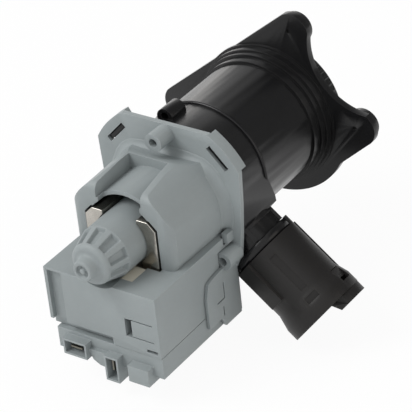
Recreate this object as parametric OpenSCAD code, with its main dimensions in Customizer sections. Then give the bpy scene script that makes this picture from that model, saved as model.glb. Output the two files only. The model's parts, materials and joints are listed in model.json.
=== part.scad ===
// Washer drain pump with filter tube, synchronous motor and hose coupling.
// The pump axis is Y. The origin is the centre of the flange's front face,
// +Y points out through the filter mouth and the coil box hangs down along -Z.

/* [Filter tube and flange] */
// Outer radius of the filter tube
tube_r = 32; // [31:0.1:33]
// Wall of the tube
tube_wall = 2.5; // [2:0.1:3]
// Flange front face to the shoulder of the volute
tube_l = 56.5; // [54:0.5:64]
// Thickness of the flange
flange_t = 3.5; // [3:0.1:5]
// Radius of the round rim of the flange
rim_r = 43.6; // [42:0.1:46]
// Radius of the three lobes
lobe_r = 9.3; // [8.6:0.1:11]
// Height of the screw bosses in front of the lobes
seat_h = 3; // [2:0.5:6]
// Radius of the screw bosses
seat_r = 8; // [6.5:0.1:8.4]
// Radius of the pilot bores for the flange screws
pilot_r = 2.1; // [1.5:0.1:3]
// Outer radius of the sump hose port
inlet_r = 17; // [14:0.5:18]
// Wall of the sump hose port
inlet_wall = 2.4; // [2:0.1:3]
// Pump axis to the mouth of the sump hose port
inlet_l = 60; // [54:1:80]
// Pump axis to the collar that stops the sump hose
inlet_stop = 35; // [34:0.5:38]

/* [Volute and outlet] */
// Outer radius of the volute
volute_r = 32.6; // [32.2:0.1:34]
// Wall of the volute
volute_wall = 3; // [2.5:0.1:3.5]
// Length of the volute from its shoulder to its rear rim
volute_l = 28.3; // [27:0.1:32]
// Outlet axis in front of the rear rim
outlet_in = 15.3; // [14.6:0.1:16]
// Drop of the outlet below the horizontal, degrees
outlet_drop = 38.5; // [36:0.5:41]
// Outer radius of the outlet neck
neck_r = 14.2; // [13.6:0.1:14.6]
// Bore radius of the outlet neck
neck_bore = 11; // [10:0.1:11.2]
// Pump axis to the flat face at the root of the neck
root_l = 35.5; // [34:0.5:37]
// Pump axis to the end of the neck
neck_l = 64; // [60:0.5:66]

/* [Hose coupling] */
// Pump axis to the rear rim of the coupling shell
shell_start = 48; // [47:0.5:50]
// Pump axis to the mouth of the coupling shell
shell_end = 88.4; // [85:0.1:96]
// Outer radius of the coupling shell
shell_r = 17.8; // [17.6:0.1:19]
// Wall of the coupling shell
shell_wall = 1.6; // [1.4:0.1:1.8]
// Outer radius of the flared mouth
flare_r = 19.8; // [19.4:0.1:20.6]
// Bore radius of the insert, for the drain hose end
hose_r = 13.5; // [12:0.1:13.8]

/* [Motor plate] */
// Width of the plate
plate_w = 78.8; // [77:0.2:84]
// Twice the height of the plate above the pump axis
plate_h = 76.8; // [76:0.2:82]
// Thickness of the plate
plate_t = 2.5; // [2:0.1:3]
// Radius of the arc that rounds the plate's corners
corner_r = 45.2; // [44.4:0.1:47]
// Outer radius of the screw bosses on the plate
boss_r = 4.6; // [4:0.1:5]
// Bore radius of the screw bosses
boss_bore = 2.2; // [1.5:0.1:2.6]
// Height of the screw bosses
boss_h = 10; // [8:0.5:14]

/* [Hood and rotor can] */
// Length of the hood in front of the plate
hood_l = 39.4; // [38:0.1:42]
// Half width of the hood at the plate
hood_w = 30; // [29:0.1:31]
// Half width of the hood at its front
hood_fw = 27.9; // [27:0.1:29]
// Height of the hood's crest above the pump axis
hood_h = 26.4; // [25.6:0.1:27]
// Wall of the hood
hood_wall = 2; // [1.5:0.1:2.4]
// Radius of the saddle in the hood's top
saddle_r = 21.9; // [21.5:0.1:22.5]
// Outer radius of the rotor can
can_r = 13.5; // [13.2:0.1:13.8]
// Wall of the rotor can
can_wall = 1.2; // [1:0.1:1.4]
// Plate front to the collar where the ribbed nose starts
can_l = 52.7; // [52:0.1:56]
// Length of the ribbed nose
nose_l = 10.3; // [9:0.1:12]
// Radius at the front ring of the nose
nose_r = 10.5; // [10:0.1:11]
// Number of ribs round the nose
nose_ribs = 10; // [8:1:14]
// Length of the tip in front of the ring
tip_l = 7.7; // [6.5:0.1:9]

/* [Coil box] */
// Width of the coil box
box_w = 62; // [61:0.5:66]
// Plate front to the front face of the coil box
box_l = 61.2; // [60.4:0.1:66]
// Pump axis down to the top of the coil box
box_top = 11.7; // [11.5:0.1:12.2]
// Height of the coil cover
cover_h = 32.4; // [32:0.1:38]
// Height of the terminal base below the cover
base_h = 11.5; // [11.5:0.1:14]
// Wall of the cover and base
box_wall = 2; // [1.6:0.1:2.2]
// Reach of the terminal sockets in front of the box
socket_out = 4; // [3:0.1:6]

/* [Stator and rotor] */
// Depth of the sheet stack along the pump axis
core_d = 24.5; // [20:0.5:26]
// Half width of the stator core
core_w = 19.4; // [19:0.1:19.8]
// Radius of the rotor magnet
magnet_r = 11.6; // [11:0.1:11.9]
// Radius of the shaft
shaft_r = 1.5; // [1.2:0.1:2]
// Radius of the impeller
impeller_r = 23; // [20:0.5:25]
// Number of impeller vanes
vanes = 6; // [4:1:8]

/* [Filter] */
// Radius of the filter knob's ribbed rim
knob_r = 39.5; // [37:0.1:40]
// Number of ribs round the knob
knob_ribs = 60; // [40:4:72]
// Quarter turn that frees the filter, degrees
turn = 90; // [80:5:100]
// Travel of the filter along its ramps
lift = 6; // [5:0.5:6.5]
// Number of bars in the strainer
bars = 12; // [8:1:16]

/* [Clearances] */
// Gap between pieces that slide or turn in one another
gap = 0.3; // [0.2:0.05:0.4]
// Running fit of the shaft, on the radius
fit = 0.05; // [0.02:0.01:0.08]
// Gap between mouldings that are clipped together
seam = 0.2; // [0.1:0.05:0.3]

/* [Hidden] */
$fn = 96;
big = 200;

// Stations along the pump axis, from the flange back to the motor's nose
y_volute = -tube_l;
y_rim = y_volute - volute_l;
y_back = y_rim - seam;
y_plate = y_back - plate_t;
y_outlet = y_rim + outlet_in;
y_hood = y_plate - hood_l;
y_collar = y_plate - can_l;
y_ring = y_collar - nose_l;
y_tip = y_ring - tip_l;
y_box = y_plate - box_l;
y_core = y_hood - 0.8;
bore_r = tube_r - tube_wall;
chamber_r = volute_r - volute_wall;
can_bore = can_r - can_wall;

// Corners of the flange: top, right and left lobe
lobe_top = [16.5, 47.5];
lobe_right = [50.2, 2.6];
lobe_left = [-53.8, -8.5];
lobes = [lobe_top, lobe_right, lobe_left];
// Direction of a line at an angle in the XZ plane
function dir(a) = [cos(a), sin(a)];

// Round bar along Y
module bar(r, y0, y1) {
    translate([0, y0, 0]) rotate([-90, 0, 0]) cylinder(r = r, h = y1 - y0);
}

// Cone along Y
module taper(r0, r1, y0, y1) {
    translate([0, y0, 0]) rotate([-90, 0, 0]) cylinder(r1 = r0, r2 = r1, h = y1 - y0);
}

// Tube along Y
module pipe(r_in, r_out, y0, y1) {
    difference() {
        bar(r_out, y0, y1);
        bar(r_in, y0 - 1, y1 + 1);
    }
}

// Outline in X and Z, carried along Y
module along_y(y0, y1) {
    translate([0, y1, 0]) rotate([90, 0, 0]) linear_extrude(y1 - y0) children();
}

// Outline in Y and Z, carried along X
module along_x(x0, x1) {
    translate([x0, 0, 0]) rotate([90, 0, 90]) linear_extrude(x1 - x0) children();
}

// Box from its lowest to its highest corner
module block(a, b) {
    translate(a) cube(b - a);
}

// Frame of the outlet: local Z runs out along the neck
module outlet() {
    translate([0, y_outlet, 0]) rotate([0, 90 + outlet_drop, 0]) children();
}

// Frame of the sump port: local Z runs out along the port
y_inlet = y_volute / 2 - 7.5;
module inlet() {
    translate([0, y_inlet, 0]) rotate([0, 225, 0]) children();
}

// Ring of round section about Y
module o_ring(r, thick, y) {
    translate([0, y, 0]) rotate([90, 0, 0]) rotate_extrude() translate([r, 0]) circle(r = thick, $fn = 32);
}

// Sector of a ring in the XZ plane
module sector(r0, r1, a0, a1) {
    reach = r1 * 2;
    intersection() {
        difference() {
            circle(r = r1);
            circle(r = r0);
        }
        polygon([[0, 0], reach * dir(a0), reach * dir((a0 + a1) / 2), reach * dir(a1)]);
    }
}

// Pump housing
// Straight edge from the left lobe to the top lobe
edge_dir = (lobe_top - lobe_left) / norm(lobe_top - lobe_left);
edge_out = [-edge_dir.y, edge_dir.x];

module flange_outline() {
    hollow = [56, 41.5];
    hollow_r = 31;
    difference() {
        union() {
            circle(r = rim_r);
            for (c = lobes) translate(c) circle(r = lobe_r);
            polygon([lobe_left + lobe_r * edge_out, lobe_top + lobe_r * edge_out, lobe_top, [0, 0], lobe_left]);
            polygon([lobe_top, lobe_top + lobe_r * dir(0), lobe_right + lobe_r * dir(75), lobe_right, [0, 0]]);
            polygon([lobe_right, lobe_right + lobe_r * dir(-55), rim_r * dir(-27), [0, 0]]);
            polygon([lobe_left, lobe_left + lobe_r * dir(240), rim_r * dir(217), [0, 0]]);
        }
        // The straight edge cuts the lobes a little inside their tangent
        translate(lobe_left) rotate(atan2(edge_dir.y, edge_dir.x)) translate([-3, lobe_r - 0.15]) {
            square([norm(lobe_top - lobe_left) + 6, big]);
        }
        translate(hollow) circle(r = hollow_r);
    }
}

// Volute outline with the flat root of the outlet
root_w = 16.4;
function polar(s, across) = s * dir(-outlet_drop) + across * dir(90 - outlet_drop);
module volute_outline() {
    tangent = 14;
    circle(r = volute_r);
    polygon([volute_r * dir(90 - outlet_drop - tangent), polar(root_l - 2, root_w), polar(root_l, root_w - 2),
        polar(root_l, 2 - root_w), polar(root_l - 2, -root_w), volute_r * dir(-90 - outlet_drop + tangent)]);
}

// Stepped rings between the tube and the flange
step_r = [33.3, 34.7, 35.8, 36.9];
step_l = [12.1, 7.7, 4.9, 1.2];

// Ramps that draw the filter in; each lug runs behind one
ramp_t = 2;
ramp_h = 2.2;
lug_t = 3;
lug_y = -14.5;
lug_arc = 16;
module ramp() {
    n = 12;
    r0 = bore_r - ramp_h;
    r1 = bore_r + 0.8;
    start = -lug_arc / 2;
    span = turn - 4;
    ring = [for (i = [0 : n]) let (a = start + span * i / n, y = lug_y + gap + lift * (max(0, a) + lug_arc / 2) / turn)
        each [[r0, y, a], [r1, y, a], [r1, y + ramp_t, a], [r0, y + ramp_t, a]]];
    points = [for (p = ring) [p.x * sin(p.z), p.y, p.x * cos(p.z)]];
    sides = [for (i = [0 : n - 1], k = [0 : 3])
        each [[4 * i + k, 4 * i + (k + 1) % 4, 4 * i + 4 + k], [4 * i + (k + 1) % 4, 4 * i + 4 + (k + 1) % 4, 4 * i + 4 + k]]];
    ends = [[0, 2, 1], [0, 3, 2], [4 * n, 4 * n + 1, 4 * n + 2], [4 * n, 4 * n + 2, 4 * n + 3]];
    polyhedron(points, concat(sides, ends));
}

// Bayonet lugs that the motor plate's corners hook behind
corner_a = [acos(plate_w / 2 / corner_r), asin(plate_h / 2 / corner_r)];
lug_out = corner_r - 2.4;
lug_d = 2;
module bayonet_lug(a) {
    along_y(y_rim, y_rim + lug_d) sector(volute_r - 1, lug_out - gap, a - 9, a + 9);
}
corner_mid = (corner_a[0] + corner_a[1]) / 2;
corner_angles = [corner_mid, 180 - corner_mid];

mouth_r = bore_r + 1.7;
mouth_l = 6;
eye_r = 15;
chamber_l = volute_l - 1.7;
hook_c = [-9, 32.4];
module pump_housing() {
    color([0.13, 0.13, 0.14]) {
        difference() {
            union() {
                along_y(-flange_t, 0) flange_outline();
                bar(tube_r, y_volute - 1, -flange_t + 0.5);
                for (i = [0 : len(step_r) - 1]) bar(step_r[i], -flange_t - step_l[i], -flange_t + 0.5);
                along_y(y_rim, y_volute) volute_outline();
                bar(volute_r + 1.2, y_rim, y_rim + lug_d);
                for (a = corner_angles) bayonet_lug(a);
                for (c = lobes) translate([c.x, 0, c.y]) bar(seat_r, -flange_t + 0.5, seat_h);
                outlet() cylinder(r = neck_r, h = neck_l);
                outlet() root_ribs();
                outlet() translate([0, 0, shell_start + 3]) cylinder(r = shell_bore - gap, h = 2.4);
                inlet() cylinder(r = inlet_r, h = inlet_l);
                inlet() cylinder(r = inlet_r + 1.4, h = inlet_stop);
                translate([hook_c.x, 0, hook_c.y]) bar(4.4, y_volute - 18, y_volute - 7);
            }
            bar(bore_r, y_rim + chamber_l + 2.5, 1);
            bar(mouth_r, -mouth_l, 1);
            bar(chamber_r, y_rim - 1, y_rim + chamber_l);
            bar(eye_r, y_rim, 0);
            outlet() cylinder(r = neck_bore, h = neck_l + 1);
            inlet() cylinder(r = inlet_r - inlet_wall, h = inlet_l + 1);
            for (c = lobes) translate([c.x, 0, c.y]) bar(pilot_r, -flange_t + 1.5, seat_h + 1);
            for (c = [lobe_top, lobe_right]) translate([c.x - 1.6, 0, c.y]) bar(1.1, -flange_t - 1, -flange_t + 0.8);
            translate([hook_c.x, 0, hook_c.y + 0.6]) bar(2, y_volute - 19, y_volute - 11);
            seal_groove();
        }
        for (a = [0, 180]) rotate([0, a, 0]) ramp();
    }
}

// Ribs across the neck, under the coupling's ears
module root_ribs() {
    for (a = [0, 90, 180, 270]) rotate([0, 0, a + 45]) {
        block([-1.1, 0, root_l - 3], [1.1, neck_r + 1.4, shell_start - 5]);
    }
    translate([0, 0, root_l - 1]) cylinder(r = neck_r + 1.2, h = 2.4);
}

// Groove for the coupling's ring seal
seal_t = 1.3;
seal_s = neck_l - 5;
module seal_groove() {
    outlet() translate([0, 0, seal_s]) rotate_extrude() translate([neck_r - 1, -seal_t - 0.2]) square([3, 2 * seal_t + 0.4]);
}

// Motor housing
// Plate with arcs at its upper corners, sides that lean in, and the leg behind the coil box
leg_z = box_top + cover_h + base_h;
arm_x = box_w / 2 + 0.3;
arm_t = 1.6;
module plate_outline() {
    half = plate_w / 2;
    side = [[half, 21], [half - 0.8, 4], [half - 2.2, -12], [half - 3.8, -24], [half - 6.4, -30.4]];
    intersection() {
        circle(r = corner_r);
        translate([0, plate_h / 2 - big]) square([2 * big, 2 * big], center = true);
        polygon(concat([[half, plate_h]], side, [for (i = [len(side) - 1 : -1 : 0]) [-side[i].x, side[i].y]],
            [[-half, plate_h]]));
    }
    leg_w = arm_x + arm_t / 4;
    translate([-leg_w, -leg_z]) square([2 * leg_w, leg_z - 29]);
}

// Slots at the plate's corners
slot_l = 13.6;
slot_w = 2.9;
slot_at = 39;
module slots() {
    for (a = corner_angles) rotate([0, -a, 0]) {
        block([slot_at - slot_w / 2, y_plate - 1, -slot_l / 2], [slot_at + slot_w / 2, y_back + 1, slot_l / 2]);
    }
}

// Skirt behind a corner, with the lip that hooks behind a bayonet lug
skirt_d = 6.3;
module corner_skirt(a) {
    half = (corner_a[1] - corner_a[0]) / 2 - 0.6;
    along_y(y_back - 0.5, y_plate + skirt_d) sector(lug_out, corner_r, a - half, a + half);
    along_y(y_rim + lug_d + gap, y_plate + skirt_d) sector(lug_out - 3.5, corner_r, a - half, a + half);
}

// Screw bosses of the plate
bosses = [[0.4, 33.6], [32.6, -21.6], [-32.6, -21.6]];

// Hood outline from the side: it rises from the plate and rolls over at the front
module hood_side(inset) {
    h = hood_h - inset;
    r = 4 - inset / 2;
    y0 = y_hood + inset;
    polygon([[y_plate + 0.5, -box_top], [y_plate + 0.5, h - 3.4], [y_plate - 4, h - 2.6], [y_plate - 11, h],
        [y_plate - 20, h], [y0 + r, h - 1.3], [y0 + r, -box_top]]);
    translate([y0 + r, h - 1.3 - r]) circle(r = r);
    translate([y0, -box_top]) square([r + 0.1, h - 1.3 - r + box_top]);
}

// Hood outline from above: drafted sides and rounded front corners
module hood_plan(inset) {
    w = hood_fw - inset;
    r = 5 - inset / 2;
    y0 = y_hood + inset;
    polygon([[-hood_w + inset, y_plate + 0.5], [hood_w - inset, y_plate + 0.5], [w, y0 + r], [-w, y0 + r]]);
    for (s = [-1, 1]) translate([s * (w - r), y0 + r]) circle(r = r);
    translate([-w + r, y0]) square([2 * (w - r), r + 0.1]);
}

// The hood is round about the pump axis, narrower at its front
hood_draft = 0.8;
module hood_body(inset) {
    intersection() {
        taper(hood_w - inset - hood_draft, hood_w - inset, y_hood - 1, y_plate + 0.5);
        along_x(-big, big) hood_side(inset);
        translate([0, 0, -box_top]) linear_extrude(big) hood_plan(inset);
    }
}

// Saddle between the hood's shoulders
saddle_w = 12.6;
saddle_back = 9.3;
y_saddle = y_plate - 12;
y_sill = y_hood + 4.2;
module saddle_cut(grow) {
    difference() {
        intersection() {
            linear_extrude(big) polygon([[-saddle_w - grow, y_hood - 1], [saddle_w + grow, y_hood - 1],
                [saddle_back + grow, y_saddle + grow], [-saddle_w - grow, y_saddle + grow]]);
            along_y(y_hood - 1, y_saddle + grow) polygon([[0, 0], [-saddle_w - grow, 12], [-saddle_w - grow - 1.5, hood_h],
                [saddle_w + grow + 1.5, hood_h], [saddle_w + grow, 12]]);
        }
        bar(saddle_r - grow, y_hood - 2, y_plate);
    }
}

// Mouth round the pole pieces
mouth_gap = 0.7;
module mouth() {
    w = core_w + mouth_gap;
    top = pole_top + mouth_gap;
    polygon([[-w, -box_top - 1], [w, -box_top - 1], [w, top - 4], [w - 4, top], [-w + 4, top], [-w, top - 4]]);
    translate([-10, 0]) square([20, saddle_r - 1]);
}

// Ribbed nose that closes the rotor can
nose_floor = 1.6;
module nose() {
    difference() {
        union() {
            taper(nose_r, can_r, y_ring, y_collar);
            bar(nose_r, y_ring - 1.2, y_ring + 0.1);
            taper(6.6, nose_r - 1.6, y_ring - 3.2, y_ring - 1.2);
            bar(5.4, y_tip + 1, y_ring);
            taper(4.6, 5.4, y_tip, y_tip + 1);
        }
        for (i = [0 : nose_ribs - 1]) rotate([0, (i + 0.5) * 360 / nose_ribs, 0]) nose_pocket();
        pipe(1.3, 3.2, y_tip - 1, y_tip + 1.6);
    }
}

// Pocket between two ribs, its floor parallel to the cone
module nose_pocket() {
    rib = 1.5;
    lean = atan2(can_r - nose_r, nose_l);
    w = 2 * (nose_r - nose_floor) * sin(180 / nose_ribs) - rib;
    translate([0, y_ring + 1.1, nose_r - nose_floor]) rotate([lean, 0, 0]) {
        along_y(0, nose_l - 2.4) polygon([[-w / 2, 0], [w / 2, 0], [w / 2 + 1.6, 6], [-w / 2 - 1.6, 6]]);
    }
}

// Side arms with a latch tongue, in front of the plate
arm_l = 25.2;
arm_top = -24.8;
module arm() {
    y0 = y_plate - arm_l;
    difference() {
        along_x(arm_x, arm_x + arm_t) {
            polygon([[y_plate + 0.5, arm_top], [y0 + 11.4, arm_top], [y0 + 4.7, arm_top - 0.9],
                [y0 + 2, arm_top - 2], [y0, arm_top - 9], [y0, arm_top - 25.2], [y0 + 9.7, arm_top - 25.2],
                [y0 + 12.8, -leg_z], [y_plate + 0.5, -leg_z]]);
        }
        along_x(arm_x - 1, arm_x + arm_t + 1) {
            translate([y0 + 13.1, arm_top - 16]) square([0.8, 9]);
            translate([y0 + 7.4, arm_top - 16]) square([6, 0.8]);
            translate([y0 + 11.7, arm_top - 24.6]) square([0.8, 5]);
        }
    }
    block([box_w / 2 - 1.2, y_plate - 5, -box_top - 3.2], [arm_x + arm_t, y_plate + 0.5, -box_top + 2]);
}

pole_top = 12.3;
spigot_r = chamber_r - gap;
module motor_housing() {
    color([0.56, 0.6, 0.62]) difference() {
        union() {
            along_y(y_plate, y_back) plate_outline();
            for (a = corner_angles) corner_skirt(a);
            pipe(impeller_r + 1.5, spigot_r, y_back - 0.5, y_back + 4);
            for (c = bosses) translate([c.x, 0, c.y]) bar(boss_r, y_plate - boss_h, y_plate + 0.5);
            difference() {
                hood_body(0);
                difference() {
                    hood_body(hood_wall);
                    saddle_cut(hood_wall);
                }
                saddle_cut(0);
                difference() {
                    bar(saddle_r - hood_wall, y_hood - 2, y_plate - 3);
                    block([-big, y_hood - 3, -big], [big, y_plate, 0]);
                }
                block([-saddle_w + 1, y_hood - 1, 8], [saddle_w - 1, y_sill, saddle_r + 1]);
                along_y(y_hood - 1, y_hood + hood_wall + 0.1) mouth();
                block([-core_w - 1, y_hood + 1, -box_top - 1], [core_w + 1, y_core + core_d + 1, 8]);
            }
            bar(can_r, y_collar, y_plate + 0.5);
            nose();
            for (s = [0, 1]) mirror([s, 0, 0]) arm();
        }
        slots();
        for (c = bosses) translate([c.x, 0, c.y]) bar(boss_bore, y_plate - boss_h - 1, y_back + 1);
        bar(can_bore, y_front_bearing + bearing_l + gap, y_back + 5);
        bar(rubber_r, y_front_bearing - 0.1, y_back);
        bar(shaft_r + 1, y_front_bearing - 3, y_back);
        bar(carrier_r + 0.05, y_plate - 3, y_back + 5);
        chamber_groove();
    }
}

// Groove of the chamber seal round the spigot
ring_t = 1.1;
ring_c = chamber_r - ring_t;
module chamber_groove() {
    pipe(ring_c - ring_t - 0.05, spigot_r + 1, y_back + 1, y_back + 1 + 2 * ring_t + 0.2);
}

module chamber_seal() {
    color([0.1, 0.1, 0.1]) o_ring(ring_c, ring_t - 0.03, y_back + 1.1 + ring_t);
}

// Coil box
cover_z = -box_top - cover_h;
wall_d = box_wall + 2.6;
y_cover = y_plate - 2.5;
bed_r = can_r + gap + 0.2;
module coil_cover() {
    x = box_w / 2;
    color([0.57, 0.61, 0.63]) difference() {
        block([-x, y_box, cover_z], [x, y_cover, -box_top]);
        difference() {
            block([-x + box_wall, y_box + wall_d, cover_z - 1], [x - box_wall, y_cover + 1, -box_top - box_wall]);
            block([-x, y_box, cover_z + 4], [-x + 10.4, y_box + box_wall + 4, -box_top]);
            bar(bed_r + 1.4, y_box, y_core - 1);
        }
        // Opening under the hood for the core's legs
        block([-hood_fw + hood_wall + 1, y_hood + hood_wall + 1, -box_top - 5], [hood_fw - hood_wall - 1, y_cover + 1, 0]);
        block([-core_w - 1, y_core - 1, -box_top - 5], [core_w + 1, y_cover, 0]);
        // Bed of the rotor can and the tongue of the bobbin
        bar(bed_r, y_ring - 2, y_cover + 1);
        block([tongue_x - 0.2, tongue_y - 0.2, -box_top - 3], [tongue_x + tongue_w + 0.2, y_core, 0]);
        // Recess at the left of the front panel and the step under it
        block([-x + 1.8, y_box - 1, cover_z + 4], [-21.3, y_box + 2.6, -box_top - 1.2]);
        block([-x - 1, y_box - 1, cover_z - 1], [4.5, y_box + 3.2, cover_z + 4]);
        // Latch window and the slits of its tongue
        block([12.6, y_box - 1, -36.6], [16.2, y_box + 5, -27]);
        block([16, y_box - 1, -27.4], [28, y_box + 5, -26.8]);
        block([16, y_box - 1, -36.6], [28, y_box + 5, -36]);
        block([23.4, y_box - 1, -42.4], [29.4, y_box + 5, -40.8]);
        // Room for the housing's lugs behind
        for (s = [-1, 1]) block([s * (x + 1) - 3, y_plate - 6, -box_top - 4], [s * (x + 1) + 3, y_plate, 0]);
        for (s = [-1, 1]) translate([s * bosses[1].x, 0, bosses[1].y]) bar(boss_r + gap, y_plate - boss_h - 1, y_plate);
    }
}

// Terminal base
base_top = cover_z - 0.4;
base_low = -leg_z;
socket_y = y_box - socket_out;
flat_socket = [[-22.4, -55], [-9.2, -46.5]];
upright_socket = [[0.8, -62.5], [8.4, -49]];
key_block = [[14, -59], [25.4, -50.2]];
socket_d = 11;
module socket_body(s, y1) {
    block([s[0].x, socket_y, s[0].y], [s[1].x, y1, s[1].y]);
}
module socket_hole(s) {
    rim = 1;
    block([s[0].x + rim, socket_y - 1, s[0].y + rim], [s[1].x - rim, socket_y + socket_d, s[1].y - rim]);
}
module terminal_base() {
    x = box_w / 2;
    color([0.55, 0.59, 0.61]) difference() {
        union() {
            block([-x + 2.8, y_box + 0.5, base_low], [x, y_plate - 10, base_top]);
            block([-x + 2.8, y_box + wall_d + seam, base_top - 1], [4.3, y_box + wall_d + 2, cover_z + 3.8]);
            for (s = [flat_socket, upright_socket, key_block]) socket_body(s, y_box + 9);
            along_y(y_box - 1.5, y_box + 8) polygon([[-9.2, -50], [0.8, -50], [0.8, -58], [-4, -57.5], [-7.6, -55.4], [-9.2, -52]]);
        }
        block([-x + 4.8, y_box + 13, base_low + 1.6], [x - 2, y_plate - 12, base_top + 5]);
        socket_hole(flat_socket);
        socket_hole(upright_socket);
        blade_flat(0);
        blade_upright(0);
    }
}

// Contact blades
blade_w = 6.3;
blade_t = 0.8;
blade_l = 19;
module blade_flat(grow) {
    c = (flat_socket[0] + flat_socket[1]) / 2;
    block([c.x - blade_w / 2 - grow, socket_y + 1.5, c.y - blade_t / 2 - grow],
        [c.x + blade_w / 2 + grow, socket_y + blade_l, c.y + blade_t / 2 + grow]);
}
module blade_upright(grow) {
    c = (upright_socket[0] + upright_socket[1]) / 2 + [0, 2];
    block([c.x - blade_t / 2 - grow, socket_y + 1.5, c.y - blade_w / 2 - grow],
        [c.x + blade_t / 2 + grow, socket_y + blade_l, c.y + blade_w / 2 + grow]);
}
module terminal_flat() {
    color([0.8, 0.76, 0.6]) blade_flat(0);
}
module terminal_upright() {
    color([0.8, 0.76, 0.6]) blade_upright(0);
}

// Stator core: two poles round the rotor can, legs down through the coils, yoke below
leg_w = 10;
yoke_z = base_low + 1.8;
yoke_h = 9;
module stator_core() {
    color([0.5, 0.47, 0.42]) difference() {
        along_y(y_core, y_core + core_d) {
            difference() {
                polygon([[-core_w, yoke_z], [core_w, yoke_z], [core_w, pole_top - 4], [core_w - 4, pole_top],
                    [-core_w + 4, pole_top], [-core_w, pole_top - 4]]);
                translate([-core_w + leg_w, yoke_z + yoke_h]) square([2 * (core_w - leg_w), big]);
                circle(r = can_r + gap);
            }
        }
    }
}

// Coil former: a tube round each leg with two flanges, and the tongue in front
coil_t = 6.8;
tube_t = 1;
coil_z = [base_top + 2, -box_top - box_wall - 3.6];
tongue_x = 6.4;
tongue_w = 7;
tongue_y = y_core - 13;
module leg_box(grow, z0, z1) {
    for (s = [-1, 1]) leg_ring(s, grow, z0, z1);
}
module leg_ring(s, grow, z0, z1) {
    c = s * (core_w - leg_w / 2);
    block([c - leg_w / 2 - grow, y_core - grow, z0], [c + leg_w / 2 + grow, y_core + core_d + grow, z1]);
}
module bobbin() {
    flange = 1.2;
    color([0.86, 0.82, 0.7]) difference() {
        union() {
            leg_box(tube_t + seam, coil_z[0], coil_z[1]);
            for (z = [coil_z[0] - flange, coil_z[1]]) {
                block([-core_w - coil_t - 1, y_core - coil_t - 1, z], [core_w + coil_t + 1, y_core + core_d + coil_t + 1, z + flange]);
            }
            block([tongue_x, tongue_y, coil_z[1]], [tongue_x + tongue_w, y_core - 2, -box_top - 0.2]);
        }
        leg_box(seam, coil_z[0] - 5, coil_z[1] + 5);
        bar(bed_r, y_ring, y_plate);
    }
}
module winding(s) {
    color([0.72, 0.4, 0.2]) difference() {
        intersection() {
            leg_ring(s, coil_t, coil_z[0] + seam, coil_z[1] - seam);
            along_y(y_core - big, y_core + big) translate([s > 0 ? 0.4 : -big, -big]) square([big - 0.4, 2 * big]);
        }
        leg_box(tube_t + 2 * seam, coil_z[0] - 1, coil_z[1] + 1);
    }
}
module coil_left() {
    winding(-1);
}
module coil_right() {
    winding(1);
}

// Rotor and its bearings
magnet_l = core_d + 3;
y_magnet = y_core - 1.5;
washer_t = 1;
bearing_l = 8;
bearing_r = 4;
rubber_r = 8;
y_front_bearing = y_magnet - washer_t - gap - bearing_l;
y_rear_bearing = y_magnet + magnet_l + washer_t + gap;
carrier_r = can_bore + 0.6;
y_vane = y_back + 1.8;
vane_h = 18;
y_shaft = [y_front_bearing - 1.5, y_vane + vane_h - 1];
module rotor_magnet() {
    color([0.2, 0.2, 0.22]) pipe(shaft_r, magnet_r, y_magnet, y_magnet + magnet_l);
}
module rotor_shaft() {
    color([0.8, 0.8, 0.82]) bar(shaft_r, y_shaft[0], y_shaft[1]);
}
module thrust_washers() {
    color([0.9, 0.9, 0.85]) {
        pipe(shaft_r + fit, 5, y_magnet - washer_t, y_magnet);
        pipe(shaft_r + fit, 5, y_magnet + magnet_l, y_magnet + magnet_l + washer_t);
    }
}
module front_bearing() {
    color([0.45, 0.42, 0.4]) pipe(shaft_r + fit, bearing_r, y_front_bearing, y_front_bearing + bearing_l);
}
module front_bearing_rubber() {
    color([0.15, 0.15, 0.15]) pipe(bearing_r, rubber_r, y_front_bearing, y_front_bearing + bearing_l);
}
module rear_bearing() {
    color([0.45, 0.42, 0.4]) pipe(shaft_r + fit, bearing_r, y_rear_bearing, y_rear_bearing + bearing_l);
}
module rear_bearing_rubber() {
    color([0.15, 0.15, 0.15]) pipe(bearing_r, rubber_r, y_rear_bearing, y_rear_bearing + bearing_l);
}
groove_y = y_plate - 8;
module bearing_carrier() {
    color([0.75, 0.75, 0.72]) difference() {
        union() {
            bar(can_bore - 0.1, y_rear_bearing, y_plate - 2);
            bar(carrier_r, y_plate - 3 + seam, y_back);
        }
        bar(rubber_r, y_rear_bearing - 1, y_rear_bearing + bearing_l);
        bar(shaft_r + 0.6, y_rear_bearing, y_back + 2);
        pipe(can_bore - 2, can_bore + 1, groove_y - 1.3, groove_y + 1.3);
    }
}
module carrier_seal() {
    color([0.1, 0.1, 0.1]) o_ring(can_bore - 1, 0.95, groove_y);
}

// Impeller: a hub with an annular pocket in which the dog runs free for most of a turn
dog_arc = 40;
pocket_r = 5.4;
pocket_l = 6;
hub_r = 7.4;
dog_lead = dog_arc + 5;
module drive_dog() {
    color([0.85, 0.85, 0.8]) difference() {
        union() {
            bar(shaft_r + 1, y_vane - 1, y_vane + pocket_l - 1.4);
            along_y(y_vane - 1, y_vane + pocket_l - 1.4) sector(shaft_r + 0.5, pocket_r - gap, 90 - dog_arc / 2, 90 + dog_arc / 2);
        }
        bar(shaft_r, y_vane - 2, y_vane + pocket_l);
    }
}
module impeller() {
    color([0.8, 0.8, 0.78]) difference() {
        union() {
            bar(hub_r, y_vane - 1.2, y_vane + vane_h - 4);
            bar(impeller_r, y_vane - 1.2, y_vane + 0.4);
            for (i = [0 : vanes - 1]) rotate([0, i * 360 / vanes, 0]) vane();
        }
        difference() {
            bar(pocket_r, y_vane - 3, y_vane + pocket_l - 1);
            along_y(y_vane - 3, y_vane + pocket_l) {
                sector(shaft_r + 1 + gap, pocket_r + 1, 90 - dog_lead - dog_arc / 2, 90 - dog_lead + dog_arc / 2);
            }
        }
        bar(shaft_r + fit, y_vane, y_vane + vane_h);
        bar(shaft_r + 1 + gap, y_vane - 3, y_vane + pocket_l - 1);
    }
}

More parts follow.
